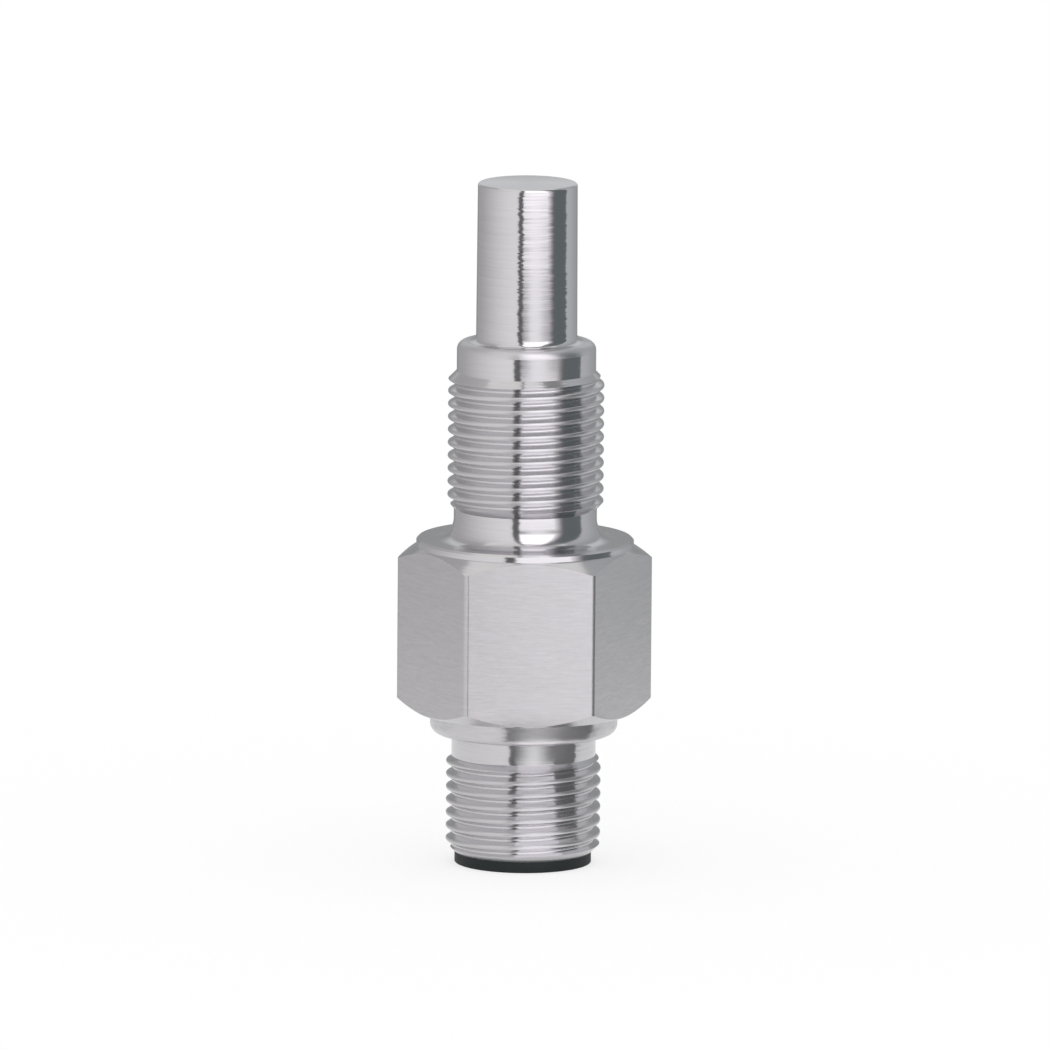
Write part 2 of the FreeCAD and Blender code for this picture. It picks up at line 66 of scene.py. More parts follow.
# The studio
FLOOR_REACH = 6.0
FLOOR_DROP = 0.01 * MM  # keeps the floor off the sensor's rim
FLOOR_SEEN = 0.66  # light that the floor adds for the camera, and for what mirrors it
FLOOR_MIRRORED = 0.47
CARD_STEP = 3  # degrees
AIM = (0, 0, 26 * MM)  # the point that the camera stands at a distance from
SHIFT = (-0.0002, 0.0016)

# The middle of a noise texture, where most of its values lie
NOISE_LOW, NOISE_HIGH = 0.3, 0.7

# Tones of the studio's lights
WHITE = (1.0, 1.0, 1.0)
WARM = (1.0, 0.985, 0.99)
COOL = (0.96, 0.985, 1.0)
BRIGHT = (1.0, 0.975, 1.0)
TEAL = (0.85, 0.97, 1.0)
CREAM = (1.0, 0.99, 0.97)

# Cards round the sensor that its steel reflects and the camera doesn't see: name, first and last angle in
# degrees to the right of the camera, inner and outer radius, lower and upper edge in metres, tone and light.
# A light is one strength, or the way it fades, where it starts and ends to fade, and its two strengths.
CARDS = (
    ("flag_left", -19.5, -9.0, 0.08, 0.08, 0.0, 0.16, WHITE, 0.12),
    ("key_low", -9.0, 48.0, 0.08, 0.08, 0.0, 0.028, BRIGHT, ("up", 0.019, 0.025, 1.3, 0.93)),
    ("key_left", -9.0, 18.0, 0.08, 0.08, 0.028, 0.042, BRIGHT, ("round", -9, 14, 0.28, 1.0)),
    ("key_right", 18.0, 48.0, 0.08, 0.08, 0.028, 0.042, BRIGHT, ("round", 22, 48, 1.0, 0.5)),
    ("key_high", -9.0, 48.0, 0.08, 0.08, 0.042, 0.16, BRIGHT, ("up", 0.042, 0.06, 1.0, 1.7)),
    ("key_edge_low", 48.0, 62.0, 0.08, 0.08, 0.0, 0.028, BRIGHT, ("round", 48, 62, 0.9, 0.2)),
    ("key_edge_middle", 48.0, 62.0, 0.08, 0.08, 0.028, 0.042, BRIGHT, ("round", 48, 62, 0.5, 0.2)),
    ("key_edge_high", 48.0, 62.0, 0.08, 0.08, 0.042, 0.16, BRIGHT, ("round", 48, 62, 0.9, 0.2)),
    ("flag_right", 62.0, 99.0, 0.08, 0.08, 0.0, 0.16, TEAL, 0.17),
    ("card_right", 99.0, 150.0, 0.08, 0.08, 0.0, 0.16, COOL, ("round", 99, 150, 0.57, 0.41)),
    ("card_behind", 150.0, 210.0, 0.08, 0.08, 0.0, 0.16, COOL, ("up", 0.043, 0.068, 0.34, 0.68)),
    ("card_left", -150.0, -19.5, 0.08, 0.08, 0.0, 0.16, WARM, ("round", -150, -20, 0.43, 0.92)),
    ("floor_shade", -10.0, 48.0, 0.048, 0.079, 0.0002, 0.0002, WHITE, 0.42),
    ("floor_flag_left", -21.0, -10.0, 0.014, 0.079, 0.0002, 0.0002, WHITE, 0.12),
    ("floor_flag_right", 48.0, 88.0, 0.014, 0.079, 0.0002, 0.0002, WHITE, 0.17),
    ("floor_key", -9.0, 48.0, 0.019, 0.044, 0.0002, 0.0002, BRIGHT, 1.25),
    ("floor_key_near", -9.0, 48.0, 0.007, 0.0125, 0.0002, 0.0002, BRIGHT, 1.25),
    ("neck_flag_left", -14.5, 12.0, 0.0102, 0.0102, 0.0075, 0.0095, WHITE, ("round", -14.5, 12, 0.15, 0.84)),
    ("neck_flag_middle", 12.0, 36.0, 0.0102, 0.0102, 0.0075, 0.0095, WHITE, ("round", 12, 36, 0.84, 0.23)),
    ("neck_flag_right", 36.0, 66.0, 0.0102, 0.0102, 0.0075, 0.0095, WHITE, ("round", 36, 66, 0.23, 0.18)),
    ("collar_flag_left", -14.5, 8.0, 0.0102, 0.0102, 0.0095, 0.0116, WHITE, ("round", -14.5, 8, 0.2, 0.42)),
    ("collar_flag_middle", 8.0, 36.0, 0.0102, 0.0102, 0.0095, 0.0116, WHITE, ("round", 8, 36, 0.42, 0.22)),
    ("collar_flag_right", 36.0, 62.0, 0.0102, 0.0102, 0.0095, 0.0116, WHITE, ("round", 36, 62, 0.22, 0.18)),
    ("ceiling", 100.0, 340.5, 0.0, 0.08, 0.16, 0.16, CREAM, 0.85),
    ("ceiling_flag_left", -19.5, -9.0, 0.0, 0.08, 0.16, 0.16, WHITE, 0.12),
    ("ceiling_key", -9.0, 55.0, 0.04, 0.08, 0.16, 0.16, BRIGHT, 1.7),
    ("ceiling_flag_right", 55.0, 100.0, 0.0, 0.08, 0.16, 0.16, WHITE, 0.25),
)


# Sizes and colours

def length(name, description, millimetres):
    return bpy.props.FloatProperty(
        name=name,
        description=description,
        default=millimetres * MM,
        min=0.0,
        precision=5,
        unit="LENGTH",
    )


def colour(name, description, value):
    return bpy.props.FloatVectorProperty(
        name=name,
        description=description,
        default=value,
        size=3,
        min=0.0,
        max=1.0,
        subtype="COLOR",
    )


def factor(name, description, value, most=1.0):
    return bpy.props.FloatProperty(
        name=name, description=description, default=value, min=0.0, max=most, subtype="FACTOR"
    )


def turn(name, description, degrees):
    return bpy.props.FloatProperty(
        name=name, description=description, default=math.radians(degrees), subtype="ANGLE"
    )


class SensorLevels(bpy.types.PropertyGroup):
    steel_end: length("Steel end", "Height of the steel body's lower end", 0.85)
    plug_thread_top: length("Plug thread top", "Height where the plug thread ends", 8.40)
    collar_bottom: length("Collar bottom", "Height of the collar's underside", 10.10)
    hex_bottom: length("Hexagon bottom", "Height of the hexagon's lower end", 11.84)
    hex_top: length("Hexagon top", "Height of the hexagon's upper end", 24.59)
    flange_top: length("Sealing face", "Height of the flange's sealing face", 25.15)
    process_thread_bottom: length("Process thread bottom", "Height where the process thread begins", 27.48)
    process_thread_top: length("Process thread top", "Height where the process thread ends", 38.10)
    probe_base: length("Probe base", "Height of the pilot's upper face", 40.40)
    tip: length("Tip", "Height of the probe's end face", 52.64)
    insert_bore_top: length("Insert bore top", "Height of the shoulder in the bore", 12.45)
    chamber_top: length("Chamber top", "Height where the drilled cone begins", 38.0)
    probe_bore_top: length("Probe bore top", "Height of the probe bore's end", 51.84)


class SensorWidths(bpy.types.PropertyGroup):
    plug_thread: length("Plug thread", "Diameter over the plug thread's crests", 11.85)
    plug_neck: length("Plug neck", "Diameter of the neck above the plug thread", 11.05)
    collar: length("Collar", "Diameter of the collar under the hexagon", 14.35)
    hex_flats: length("Hexagon", "Width over the hexagon's flats", 17.0)
    hex_land: length("Hexagon underside", "Diameter of the flat face under the hexagon", 16.8)
    flange: length("Flange", "Diameter of the sealing flange", 16.65)
    relief: length("Relief", "Diameter of the relief above the flange", 10.95)
    process_thread: length("Process thread", "Diameter over the process thread's crests", 11.95)
    pilot: length("Pilot", "Diameter of the plain pilot", 10.65)
    probe: length("Probe", "Diameter of the probe at its base", 7.74)
    probe_tip: length("Probe tip", "Diameter of the probe at its tip", 7.62)
    insert_bore: length("Insert bore", "Diameter of the bore that holds the insert", 9.7)
    chamber: length("Chamber", "Diameter of the bore that holds the boards", 8.6)
    probe_bore: length("Probe bore", "Diameter of the bore in the probe", 6.1)


class SensorEdges(bpy.types.PropertyGroup):
    collar_edge: length("Collar edge", "Radius of the collar's lower edge", 0.7)
    hex_corner: length("Hexagon corner", "Radius of the hexagon's upright edges", 0.5)
    flange_edge: length("Flange edge", "Chamfer of the flange's upper edge", 0.15)
    relief_foot: length("Relief foot", "Radius where the relief meets the flange", 1.5)
    pilot_edge: length("Pilot edge", "Radius of the pilot's upper edge", 0.65)
    probe_foot: length("Probe foot", "Radius where the probe meets the pilot", 0.57)
    tip_edge: length("Tip edge", "Radius of the probe's end edge", 0.25)
    hex_chamfer: turn("Hexagon chamfer", "Angle of the hexagon's turned ends", 34.7)


class SensorThread(bpy.types.PropertyGroup):
    pitch: length("Pitch", "Rise of both threads in one turn", 1.0)
    depth: length("Depth", "Depth of both threads from crest to root", 0.52)
    crest_flat: length("Crest", "Height of a crest before its corners are rounded", 0.24)
    crest_radius: length("Crest radius", "Radius of a crest's corners", 0.19)
    root_radius: length("Root radius", "Radius of a root's corners", 0.12)
    process_valley: length("Process valley", "Height of a valley of the process thread on the +X side", 27.545)
    plug_valley: length("Plug valley", "Height of a valley of the plug thread on the +X side", 1.84)
    steps: bpy.props.IntProperty(
        name="Steps", description="Steps in one turn of a thread", default=96, min=24, max=192
    )


class SensorLook(bpy.types.PropertyGroup):
    steel: colour("Steel", "Colour of the stainless steel", (0.70, 0.69, 0.71))
    turned_roughness: factor("Turned roughness", "Roughness of the turned steel", 0.16)
    crest_roughness: factor("Crest roughness", "Roughness of the thread crests", 0.4)
    collar_roughness: factor("Collar roughness", "Roughness of the collar", 0.3)
    brushed_roughness: factor("Brushed roughness", "Roughness of the hexagon's flats", 0.36)
    plastic: colour("Insert", "Colour of the socket insert", (0.012, 0.02, 0.019))
    gold: colour("Contacts", "Colour of the contacts' plating", (0.83, 0.61, 0.25))
    rubber: colour("Seal", "Colour of the insert's seal", (0.018, 0.018, 0.018))
    laminate: colour("Boards", "Colour of the boards' solder mask", (0.015, 0.14, 0.05))
    mould: colour("Chips", "Colour of the moulded chips", (0.018, 0.018, 0.021))
    tin: colour("Tin", "Colour of the tinned ends and leads", (0.62, 0.62, 0.6))
    film: colour("Sleeve", "Colour of the insulating sleeve", (0.52, 0.19, 0.025))
    ceramic: colour("Strip", "Colour of the sensing strip", (0.78, 0.76, 0.7))
    copper: colour("Couplers", "Colour of the copper couplers", (0.75, 0.36, 0.22))
    glaze: colour("Glaze", "Colour of the temperature sensors' glaze", (0.075, 0.095, 0.115))
    resistor: colour("Heater", "Colour of the heater's printed layer", (0.05, 0.032, 0.024))
    capacitor: colour("Capacitor", "Colour of the capacitor's body", (0.21, 0.14, 0.065))
    black: colour("Diode and resistors", "Colour of the diode's and the resistors' bodies", (0.02, 0.02, 0.022))


class SensorStage(bpy.types.PropertyGroup):
    floor: colour("Floor", "Colour of the floor", (0.5, 0.5, 0.5))
    world: factor("World", "Strength of the studio's even light", 0.85, 2.0)
    opening: length("Opening", "Radius of the floor's opening under the socket", 5.05)
    distance: bpy.props.FloatProperty(
        name="Distance", description="Distance of the camera", default=1.735, unit="LENGTH"
    )
    azimuth: turn("Azimuth", "Turn of the camera round the sensor", -2.7)
    elevation: turn("Elevation", "Height angle of the camera", 9.604)
    roll: turn("Roll", "Lean of the camera", 0.443)
    lens: bpy.props.FloatProperty(
        name="Lens", description="Focal length of the camera in millimetres", default=777.7
    )


# Modelling by hand

def start_wire(name, place):
    """Piece of one vertex, its origin at the world's, left open in edit mode."""
    bpy.ops.object.select_all(action="DESELECT")
    bpy.ops.mesh.primitive_plane_add(size=MM, location=(0, 0, 0))
    piece = bpy.context.object
    piece.name = piece.data.name = name
    bpy.ops.object.mode_set(mode="EDIT")
    bpy.ops.mesh.select_mode(type="VERT")
    bpy.ops.mesh.merge(type="CENTER")
    bpy.ops.transform.translate(value=place)
    return piece


def draw_outline(name, corners):
    """Wire through (radius, height) corners on the XZ plane, left open in edit mode."""
    radius, height = corners[0]
    piece = start_wire(name, (radius, 0, height))
    for next_radius, next_height in corners[1:]:
        step = (next_radius - radius, 0, next_height - height)
        radius, height = next_radius, next_height
        bpy.ops.mesh.extrude_region_move(TRANSFORM_OT_translate={"value": step})
    return piece


def round_corner(piece, corner, radius, segments=8):
    """Round the wire's corner at a (radius, height) place."""
    bpy.ops.mesh.select_all(action="DESELECT")
    mesh = bmesh.from_edit_mesh(piece.data)
    place = Vector((corner[0], 0, corner[1]))
    point = min(mesh.verts, key=lambda vert: (vert.co - place).length)
    arms = [edge.other_vert(point).co - point.co for edge in point.link_edges]
    setback = radius / math.tan(arms[0].angle(arms[1]) / 2)
    point.select_set(True)
    mesh.select_flush(True)
    bmesh.update_edit_mesh(piece.data)
    bpy.ops.mesh.bevel(offset_type="OFFSET", offset=setback, segments=segments, profile=0.5, affect="VERTICES")


def select_where(piece, kind, wanted):
    """Select the edges or faces that pass a test, in edit mode."""
    bpy.ops.mesh.select_mode(type=kind)
    bpy.ops.mesh.select_all(action="DESELECT")
    mesh = bmesh.from_edit_mesh(piece.data)
    for part in mesh.edges if kind == "EDGE" else mesh.faces:
        if wanted(part):
            part.select_set(True)
    bmesh.update_edit_mesh(piece.data)


def close_up(piece):
    """Merge doubles and point the normals outwards, still in edit mode."""
    bpy.ops.mesh.select_all(action="SELECT")
    bpy.ops.mesh.remove_doubles(threshold=TINY)
    bpy.ops.mesh.normals_make_consistent(inside=False)


def spin_round(piece, steps):
    """Turn the wire round the Z axis into a closed shape and leave edit mode."""
    bpy.ops.mesh.select_all(action="SELECT")
    bpy.ops.mesh.spin(
        steps=steps, dupli=False, angle=math.tau, use_auto_merge=True, center=(0, 0, 0), axis=(0, 0, 1)
    )
    close_up(piece)
    bpy.ops.object.mode_set(mode="OBJECT")


def combine(piece, other, operation):
    """Join, cut or trim a piece with another, which is used up."""
    bpy.context.view_layer.objects.active = piece
    shaping = piece.modifiers.new(operation.lower(), "BOOLEAN")
    shaping.operation = operation
    shaping.solver = "EXACT"
    shaping.object = other
    bpy.ops.object.modifier_apply(modifier=shaping.name)
    bpy.ops.object.select_all(action="DESELECT")
    other.select_set(True)
    bpy.ops.object.delete()
    bpy.context.view_layer.objects.active = piece
    piece.select_set(True)


def check_closed(piece):
    """Stop unless the mesh is closed and its normals point outwards."""
    mesh = bmesh.new()
    mesh.from_mesh(piece.data)
    loose = sum(len(edge.link_faces) != 2 for edge in mesh.edges)
    volume = mesh.calc_volume(signed=True)
    mesh.free()
    if loose or volume <= 0:
        raise RuntimeError(f"{piece.name}: {loose} open edges, volume {volume}")


# Steel body

def turn_core(levels, widths, edges, thread):
    """Turned outline of the body without its threads and hexagon."""
    plug_root = widths.plug_thread / 2 - thread.depth
    process_root = widths.process_thread / 2 - thread.depth
    neck = widths.plug_neck / 2
    collar = widths.collar / 2
    flange = widths.flange / 2
    relief = widths.relief / 2
    pilot = widths.pilot / 2
    probe = widths.probe / 2
    tip = widths.probe_tip / 2
    inside = 0.08 * MM
    start = levels.steel_end + 0.4 * MM
    shoulder = 0.3 * MM
    core = draw_outline("steel_body", [
        (0, start),
        (plug_root - inside, start),
        (plug_root - inside, levels.plug_thread_top - shoulder),
        (neck, levels.plug_thread_top - inside),
        (neck, levels.collar_bottom),
        (collar, levels.collar_bottom),
        (collar, levels.hex_bottom + MM),
        (flange, levels.hex_top - MM),
        (flange, levels.flange_top - edges.flange_edge),
        (flange - edges.flange_edge, levels.flange_top),
        (relief, levels.flange_top),
        (relief, levels.process_thread_bottom + inside),
        (process_root - inside, levels.process_thread_bottom + shoulder),
        (process_root - inside, levels.process_thread_top - shoulder),
        (pilot, levels.process_thread_top - inside),
        (pilot, levels.probe_base),
        (probe, levels.probe_base),
        (tip, levels.tip),
        (0, levels.tip),
    ])
    round_corner(core, (collar, levels.collar_bottom), edges.collar_edge)
    round_corner(core, (relief, levels.flange_top), edges.relief_foot)
    round_corner(core, (pilot, levels.probe_base), edges.pilot_edge)
    round_corner(core, (probe, levels.probe_base), edges.probe_foot)
    round_corner(core, (tip, levels.tip), edges.tip_edge)
    spin_round(core, CORE_STEPS)
    return core


def mill_hexagon(levels, widths, edges):
    """Hexagon bar with rounded corners, its ends trimmed by turned cones."""
    height = levels.hex_top - levels.hex_bottom + 2 * MM
    middle = (levels.hex_top + levels.hex_bottom) / 2
    bpy.ops.object.select_all(action="DESELECT")
    bpy.ops.mesh.primitive_cylinder_add(
        vertices=6, radius=widths.hex_flats / math.sqrt(3), depth=height, location=(0, 0, middle),
        rotation=(0, 0, math.radians(30)),
    )
    hexagon = bpy.context.object
    hexagon.name = "hexagon"
    bpy.ops.object.transform_apply(location=True, rotation=True, scale=True)
    bpy.ops.object.mode_set(mode="EDIT")
    select_where(hexagon, "EDGE", lambda edge: abs(edge.verts[0].co.z - edge.verts[1].co.z) > MM)
    setback = edges.hex_corner * math.tan(math.radians(30))
    bpy.ops.mesh.bevel(offset_type="OFFSET", offset=setback, segments=8, profile=0.5, affect="EDGES")
    bpy.ops.object.mode_set(mode="OBJECT")

    slope = math.tan(edges.hex_chamfer)
    beyond = widths.hex_flats * 0.6
    land = widths.hex_land / 2
    flange = widths.flange / 2
    sink = 0.01 * MM
    envelope = draw_outline("hexagon_envelope", [
        (0, levels.hex_bottom),
        (land, levels.hex_bottom),
        (beyond, levels.hex_bottom + (beyond - land) * slope),
        (beyond, levels.hex_top - (beyond - flange) * slope),
        (flange - sink / slope, levels.hex_top + sink),
        (0, levels.hex_top + sink),
    ])
    spin_round(envelope, HEXAGON_STEPS)
    combine(hexagon, envelope, "INTERSECT")
    return hexagon


def cut_thread(name, crest, valley, low, high, thread):
    """Threaded rod about the Z axis, closed at both ends."""
    root = crest - thread.depth
    flank = thread.depth * math.tan(math.radians(30))
    root_flat = thread.pitch - thread.crest_flat - 2 * flank
    start = valley - (math.ceil((valley - low) / thread.pitch) + 2) * thread.pitch
    top = start + root_flat / 2 + flank
    corners = [
        (root, start),
        (root, start + root_flat / 2),
        (crest, top),
        (crest, top + thread.crest_flat),
        (root, start + thread.pitch - root_flat / 2),
        (root, start + thread.pitch),
    ]
    rod = draw_outline(name, corners)
    radii = (thread.root_radius, thread.crest_radius, thread.crest_radius, thread.root_radius)
    for corner, radius in zip(corners[1:5], radii):
        round_corner(rod, corner, radius, segments=4)
    bpy.ops.object.mode_set(mode="OBJECT")
    winding = rod.modifiers.new("turns", "SCREW")
    winding.angle = math.tau
    winding.screw_offset = thread.pitch
    winding.iterations = math.ceil((high - start) / thread.pitch) + 1
    winding.steps = winding.render_steps = thread.steps
    winding.use_merge_vertices = False
    bpy.ops.object.modifier_apply(modifier=winding.name)
    bpy.ops.object.mode_set(mode="EDIT")
    close_up(rod)
    for height, direction in ((low, -1), (high, 1)):
        bpy.ops.mesh.select_all(action="SELECT")
        bpy.ops.mesh.bisect(
            plane_co=(0, 0, height), plane_no=(0, 0, direction), use_fill=True, clear_outer=True, threshold=TINY
        )
    bpy.ops.object.mode_set(mode="OBJECT")
    return rod


def thread_rod(name, crest, valley, outline, thread):
    """Threaded rod trimmed by the turned outline of its ends."""
    low, high = outline[0][1], outline[-1][1]
    spare = 0.3 * MM
    rod = cut_thread(name, crest, valley, low - spare, high + spare, thread)
    envelope = draw_outline(f"{name}_envelope", outline)
    spin_round(envelope, THREAD_END_STEPS)
    combine(rod, envelope, "INTERSECT")
    return rod


def process_rod(levels, widths, thread):
    """Process thread with a run-out at the relief and a chamfer at the pilot."""
    crest = widths.process_thread / 2
    beyond = crest + 0.3 * MM
    relief = widths.relief / 2
    pilot = widths.pilot / 2
    low = levels.process_thread_bottom
    high = levels.process_thread_top
    return thread_rod("process_thread", crest, thread.process_valley, [
        (0, low - THREAD_SINK),
        (relief - THREAD_SINK / PROCESS_RUN_OUT, low - THREAD_SINK),
        (beyond, low + (beyond - relief) * PROCESS_RUN_OUT),
        (beyond, high - (beyond - pilot)),
        (pilot - THREAD_SINK, high + THREAD_SINK),
        (0, high + THREAD_SINK),
    ], thread)


def plug_rod(levels, widths, thread):
    """Plug thread with a chamfer at the body's end and a run-out at the neck."""
    crest = widths.plug_thread / 2
    beyond = crest + 0.3 * MM
    neck = widths.plug_neck / 2
    end = crest - PLUG_CHAMFER
    low = levels.steel_end
    high = levels.plug_thread_top
    return thread_rod("plug_thread", crest, thread.plug_valley, [
        (0, low),
        (end, low),
        (beyond, low + (beyond - end)),
        (beyond, high - (beyond - neck) * PLUG_RUN_OUT),
        (neck - THREAD_SINK / PLUG_RUN_OUT, high + THREAD_SINK),
        (0, high + THREAD_SINK),
    ], thread)


def bore_tool(levels, widths):
    """Solid of the stepped bore, with the drill's cone between its two narrow parts."""
    insert = widths.insert_bore / 2
    chamber = widths.chamber / 2
    probe = widths.probe_bore / 2
    rise = (chamber - probe) / math.tan(DRILL_POINT)
    tool = draw_outline("stepped_bore", [
        (0, levels.steel_end - MM),
        (insert, levels.steel_end - MM),
        (insert, levels.insert_bore_top),
        (chamber, levels.insert_bore_top),
        (chamber, levels.chamber_top),
        (probe, levels.chamber_top + rise),
        (probe, levels.probe_bore_top),
        (0, levels.probe_bore_top),
    ])
    spin_round(tool, BORE_STEPS)
    return tool


def paint_faces(body, finish, wanted):
    """Give the chosen faces another of the body's finishes."""
    bpy.ops.object.mode_set(mode="EDIT")
    select_where(body, "FACE", wanted)
    body.active_material_index = finish
    bpy.ops.object.material_slot_assign()
    bpy.ops.object.mode_set(mode="OBJECT")


def paint_body(body, levels, widths, edges):
    """Finish of the flats, the crests and the pilot's edge, the probe and neck, and the collar."""
    crest_depth = 0.07 * MM
    bore_wall = 0.3 * MM

    def place(face):
        middle = face.calc_center_median()
        return math.hypot(middle.x, middle.y), middle.z

    def on_hexagon(face):
        reach, height = place(face)
        upright = abs(face.normal.z) <= 0.05
        return upright and levels.hex_bottom < height < levels.hex_top and reach > widths.flange / 2 + 0.02 * MM

    def on_crest(face):
        reach, height = place(face)
        if levels.probe_base - edges.pilot_edge < height < levels.probe_base:
            return reach > widths.pilot / 2 - edges.pilot_edge - crest_depth
        if levels.process_thread_bottom < height < levels.process_thread_top:
            return reach > widths.process_thread / 2 - crest_depth
        if levels.steel_end < height < levels.plug_thread_top:
            return reach > widths.plug_thread / 2 - crest_depth
        return False

    def on_probe_or_neck(face):
        reach, height = place(face)
        if levels.plug_thread_top + 0.1 * MM < height < levels.collar_bottom:
            return reach > widths.insert_bore / 2 + bore_wall
        outside = reach > widths.probe_bore / 2 + bore_wall
        return height > levels.probe_base + 0.05 * MM and (outside or face.normal.z > 0.5)

    def on_collar(face):
        reach, height = place(face)
        return levels.collar_bottom < height < levels.hex_bottom and reach > widths.plug_thread / 2

    paint_faces(body, BRUSHED, on_hexagon)
    paint_faces(body, CREST, on_crest)
    paint_faces(body, GROUND, on_probe_or_neck)
    paint_faces(body, COLLAR, on_collar)


# Materials

def new_material(name):
    """Material whose node tree holds only its output."""
    material = bpy.data.materials.new(name)
    material.use_nodes = True
    tree = material.node_tree
    tree.nodes.clear()
    return material, tree, tree.nodes.new("ShaderNodeOutputMaterial")


def new_finish(name):
    """Material with a Principled shader."""
    material, tree, output = new_material(name)
    shader = tree.nodes.new("ShaderNodeBsdfPrincipled")
    tree.links.new(shader.outputs["BSDF"], output.inputs["Surface"])
    return material, tree, shader


def calculate(tree, operation, *values):
    """Math node whose inputs are numbers or other nodes' outputs."""
    node = tree.nodes.new("ShaderNodeMath")
    node.operation = operation
    for socket, value in zip(node.inputs, values):
        if isinstance(value, (int, float)):
            socket.default_value = value
        else:
            tree.links.new(value, socket)
    return node.outputs[0]


def object_place(tree):
    """X, Y and Z of the place in the object, each an output."""
    place = tree.nodes.new("ShaderNodeTexCoord")
    split = tree.nodes.new("ShaderNodeSeparateXYZ")
    tree.links.new(place.outputs["Object"], split.inputs["Vector"])
    return split.outputs


def noise(tree, stretch, detail, roughness):
    """Noise on Object coordinates with its features per metre along each axis."""
    place = tree.nodes.new("ShaderNodeTexCoord")
    mapping = tree.nodes.new("ShaderNodeMapping")
    mapping.inputs["Scale"].default_value = stretch
    pattern = tree.nodes.new("ShaderNodeTexNoise")
    pattern.inputs["Scale"].default_value = 1.0
    pattern.inputs["Detail"].default_value = detail
    pattern.inputs["Roughness"].default_value = roughness
    tree.links.new(place.outputs["Object"], mapping.inputs["Vector"])
    tree.links.new(mapping.outputs["Vector"], pattern.inputs["Vector"])
    return pattern.outputs["Fac"]


def ramp(tree, source, low, high, start=NOISE_LOW, end=NOISE_HIGH):
    """Colours from low to high over a pattern."""
    blend = tree.nodes.new("ShaderNodeValToRGB")
    blend.color_ramp.elements[0].position = start
    blend.color_ramp.elements[1].position = end
    blend.color_ramp.elements[0].color = (*low, 1)
    blend.color_ramp.elements[1].color = (*high, 1)
    tree.links.new(source, blend.inputs["Fac"])
    return blend.outputs["Color"]


def spread(tree, source, low, high):
    """Numbers from low to high over a pattern."""
    node = tree.nodes.new("ShaderNodeMapRange")
    node.inputs["From Min"].default_value = NOISE_LOW
    node.inputs["From Max"].default_value = NOISE_HIGH
    node.inputs["To Min"].default_value = low
    node.inputs["To Max"].default_value = high
    tree.links.new(source, node.inputs["Value"])
    return node.outputs["Result"]


def bump(tree, source, depth):
    """Surface normal that follows a pattern of this depth in metres."""
    node = tree.nodes.new("ShaderNodeBump")
    node.inputs["Strength"].default_value = 1.0
    node.inputs["Distance"].default_value = depth
    tree.links.new(source, node.inputs["Height"])
    return node.outputs["Normal"]


def shade(value, amount):
    """Darker or lighter version of a colour."""
    return tuple(min(1.0, channel * amount) for channel in value)


def vector_math(tree, operation, first, second=None, scale=None):
    """Vector node that works on one or two vectors, or scales one by another node's number."""
    node = tree.nodes.new("ShaderNodeVectorMath")
    node.operation = operation
    tree.links.new(first, node.inputs[0])
    if second is not None:
        tree.links.new(second, node.inputs[1])
    if scale is not None:
        tree.links.new(scale, node.inputs["Scale"])
    return node.outputs["Vector"]


def tooled_normal(tree, lean, tilt, along, across):
    """Surface normal that leans sideways and tilts up or down from one tool mark to the next."""
    normal = tree.nodes.new("ShaderNodeNewGeometry").outputs["Normal"]
    axis = tree.nodes.new("ShaderNodeCombineXYZ")
    axis.inputs["Z"].default_value = 1.0
    sideways = vector_math(tree, "CROSS_PRODUCT", axis.outputs["Vector"], normal)
    upwards = vector_math(tree, "CROSS_PRODUCT", normal, sideways)
    lines = noise(tree, (along, along, across), 2.0, 0.6)
    grooves = noise(tree, (along * 1.7, along * 1.7, across * 1.3), 3.0, 0.6)
    moved = vector_math(tree, "SCALE", sideways, scale=spread(tree, lines, -lean, lean))
    turned = vector_math(tree, "SCALE", upwards, scale=spread(tree, grooves, -tilt, tilt))
    total = vector_math(tree, "ADD", normal, moved)
    total = vector_math(tree, "ADD", total, turned)
    return vector_math(tree, "NORMALIZE", total)


def tooled_steel(look, name, roughness, anisotropy, grain, shades, marks):
    """Stainless steel: grain is the noise of its colour, marks the tooling of its normal."""
    material, tree, shader = new_finish(name)
    shader.inputs["Metallic"].default_value = 1.0
    shader.inputs["Roughness"].default_value = roughness
    shader.inputs["Anisotropic"].default_value = anisotropy
    shader.inputs["Anisotropic Rotation"].default_value = 0.25
    tangent = tree.nodes.new("ShaderNodeTangent")
    tangent.direction_type = "RADIAL"
    tangent.axis = "Z"
    tree.links.new(tangent.outputs["Tangent"], shader.inputs["Tangent"])
    colours = (shade(look.steel, amount) for amount in shades)
    tree.links.new(ramp(tree, noise(tree, *grain), *colours), shader.inputs["Base Color"])
    tree.links.new(tooled_normal(tree, *marks), shader.inputs["Normal"])
    return material


def ringed_steel(look, name, roughness, variation, lean, tilt, along, across):
    """Steel with rings round its axis, as a lathe or a grinding wheel leaves them."""
    grain = ((along, along, across), 3.0, 0.65)
    shades = (1 - variation, 1 + variation)
    return tooled_steel(look, name, roughness, 0.7, grain, shades, (lean, tilt, along, across))


def turned_steel(look):
    """Fine rings of the lathe tool on the body, the grooves and the thread flanks."""
    return ringed_steel(look, "turned_steel", look.turned_roughness, 0.025, 0.012, 0.03, 120, 9000)


def crest_steel(look):
    """Thread crests, dulled by handling and by the mating thread."""
    return ringed_steel(look, "crest_steel", look.crest_roughness, 0.03, 0.03, 0.05, 300, 9000)


def ground_steel(look):
    """Probe and neck with the uneven rings of the grinding wheel."""
    return ringed_steel(look, "ground_steel", look.turned_roughness, 0.02, 0.032, 0.04, 110, 7000)


def collar_steel(look):
    """Coarser turned band of the collar under the hexagon."""
    return ringed_steel(look, "collar_steel", look.collar_roughness, 0.05, 0.05, 0.08, 700, 4000)


